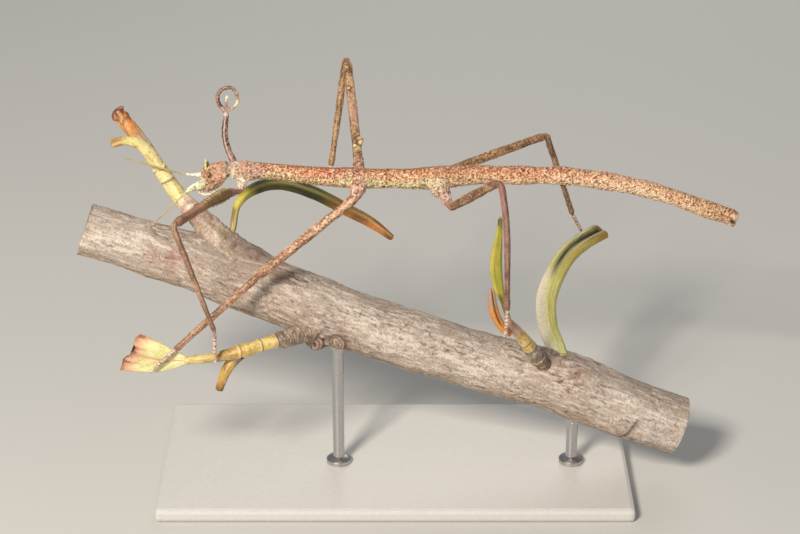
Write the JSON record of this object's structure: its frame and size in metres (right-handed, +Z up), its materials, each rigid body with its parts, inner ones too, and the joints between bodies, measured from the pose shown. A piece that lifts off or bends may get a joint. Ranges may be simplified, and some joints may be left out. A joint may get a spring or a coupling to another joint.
{
  "type": "giant stick insect",
  "caption": "Life-size still model of a brown wingless giant stick insect clinging to the shoots of a cut length of branch, on a plain stand with two rods.",
  "frame": {"origin": "middle of the underside of the stand's flat base, on the floor", "axes": "+Z up; the insect lies along X with its head towards -X and its left side towards -Y"},
  "size_m": [0.1798, 0.0788, 0.1151],
  "materials": {
    "head": "granular pinkish-brown chitin",
    "horn_left": "smooth pale yellow horn",
    "horn_right": "smooth pale yellow horn",
    "eye_left": "glossy dark brown facets",
    "eye_right": "glossy dark brown facets",
    "antenna_left": "pale cream segments",
    "antenna_right": "pale cream segments",
    "prothorax": "granular chitin, salmon above and pale green-cream below",
    "mesothorax": "granular chitin, salmon above and pale green-cream below",
    "metathorax": "granular chitin, salmon above and pale green-cream below",
    "abdomen_1": "granular salmon-tan chitin with dark specks",
    "abdomen_2": "granular salmon-tan chitin with dark specks",
    "abdomen_3": "granular salmon-tan chitin with dark specks",
    "abdomen_4": "granular salmon-tan chitin with dark specks",
    "abdomen_5": "granular salmon-tan chitin with dark specks",
    "abdomen_6": "granular salmon-tan chitin with dark specks",
    "abdomen_7": "granular salmon-tan chitin with dark specks",
    "abdomen_8": "granular salmon-tan chitin with dark specks",
    "abdomen_9": "granular salmon-tan chitin with dark specks",
    "abdomen_10": "granular salmon-tan chitin with dark specks",
    "fore_left_femur": "mottled brown chitin with fine ridges",
    "fore_left_tibia": "mottled brown chitin with fine ridges",
    "fore_left_tarsus": "mottled brown chitin with fine ridges",
    "mid_left_femur": "mottled brown chitin with fine ridges",
    "mid_left_tibia": "mottled brown chitin with fine ridges",
    "mid_left_tarsus": "mottled brown chitin with fine ridges",
    "hind_left_femur": "mottled brown chitin with fine ridges",
    "hind_left_tibia": "mottled brown chitin with fine ridges",
    "hind_left_tarsus": "mottled brown chitin with fine ridges",
    "mid_right_femur": "mottled brown chitin with fine ridges",
    "mid_right_tibia": "mottled brown chitin with fine ridges",
    "mid_right_tarsus": "mottled brown chitin with fine ridges",
    "hind_right_femur": "mottled brown chitin with fine ridges",
    "hind_right_tibia": "mottled brown chitin with fine ridges",
    "hind_right_tarsus": "mottled brown chitin with fine ridges",
    "fore_left_coxa": "pale pinkish granular chitin",
    "mid_left_coxa": "pale pinkish granular chitin",
    "hind_left_coxa": "pale pinkish granular chitin",
    "mid_right_coxa": "pale pinkish granular chitin",
    "hind_right_coxa": "pale pinkish granular chitin",
    "fore_right_coxa": "mauve-brown chitin",
    "fore_right_femur": "mauve-brown chitin",
    "fore_right_tibia_lower": "mauve-brown chitin",
    "fore_right_tibia_upper": "mauve-brown chitin",
    "fore_right_tarsus": "mauve-brown chitin",
    "branch": "grey-tan bark with fine fissures",
    "shoot_upper": "yellow young bark",
    "petiole_upper": "yellow young bark",
    "shoot_lower": "yellow young bark",
    "fork_lower": "yellow young bark",
    "leaf_lower": "yellow young bark",
    "shoot_right": "yellow young bark",
    "bud_right": "dry orange-brown leaf",
    "leaf_rear": "dry orange-brown leaf",
    "leaflet_right": "yellow-green leaf",
    "leaf_curved": "yellow-green leaf",
    "stand_base": "plain pale satin paint",
    "stand_rod_front": "satin",
    "stand_rod_back": "satin"
  },
  "bodies": {
    "root": {"head": "head", "horn_left": "horn_left", "horn_right": "horn_right", "eye_left": "eye_left", "eye_right": "eye_right", "antenna_left": "antenna_left", "antenna_right": "antenna_right", "prothorax": "prothorax", "mesothorax": "mesothorax", "metathorax": "metathorax", "abdomen_1": "abdomen_1", "abdomen_2": "abdomen_2", "abdomen_3": "abdomen_3", "abdomen_4": "abdomen_4", "abdomen_5": "abdomen_5", "abdomen_6": "abdomen_6", "abdomen_7": "abdomen_7", "abdomen_8": "abdomen_8", "abdomen_9": "abdomen_9", "abdomen_10": "abdomen_10", "fore_left_femur": "fore_left_femur", "fore_left_tibia": "fore_left_tibia", "fore_left_tarsus": "fore_left_tarsus", "mid_left_femur": "mid_left_femur", "mid_left_tibia": "mid_left_tibia", "mid_left_tarsus": "mid_left_tarsus", "hind_left_femur": "hind_left_femur", "hind_left_tibia": "hind_left_tibia", "hind_left_tarsus": "hind_left_tarsus", "mid_right_femur": "mid_right_femur", "mid_right_tibia": "mid_right_tibia", "mid_right_tarsus": "mid_right_tarsus", "hind_right_femur": "hind_right_femur", "hind_right_tibia": "hind_right_tibia", "hind_right_tarsus": "hind_right_tarsus", "fore_left_coxa": "fore_left_coxa", "mid_left_coxa": "mid_left_coxa", "hind_left_coxa": "hind_left_coxa", "mid_right_coxa": "mid_right_coxa", "hind_right_coxa": "hind_right_coxa", "fore_right_coxa": "fore_right_coxa", "fore_right_femur": "fore_right_femur", "fore_right_tibia_lower": "fore_right_tibia_lower", "fore_right_tibia_upper": "fore_right_tibia_upper", "fore_right_tarsus": "fore_right_tarsus", "branch": "branch", "shoot_upper": "shoot_upper", "petiole_upper": "petiole_upper", "shoot_lower": "shoot_lower", "fork_lower": "fork_lower", "leaf_lower": "leaf_lower", "shoot_right": "shoot_right", "bud_right": "bud_right", "leaf_rear": "leaf_rear", "leaflet_right": "leaflet_right", "leaf_curved": "leaf_curved", "stand_base": "stand_base", "stand_rod_front": "stand_rod_front", "stand_rod_back": "stand_rod_back"}
  },
  "joints": []
}
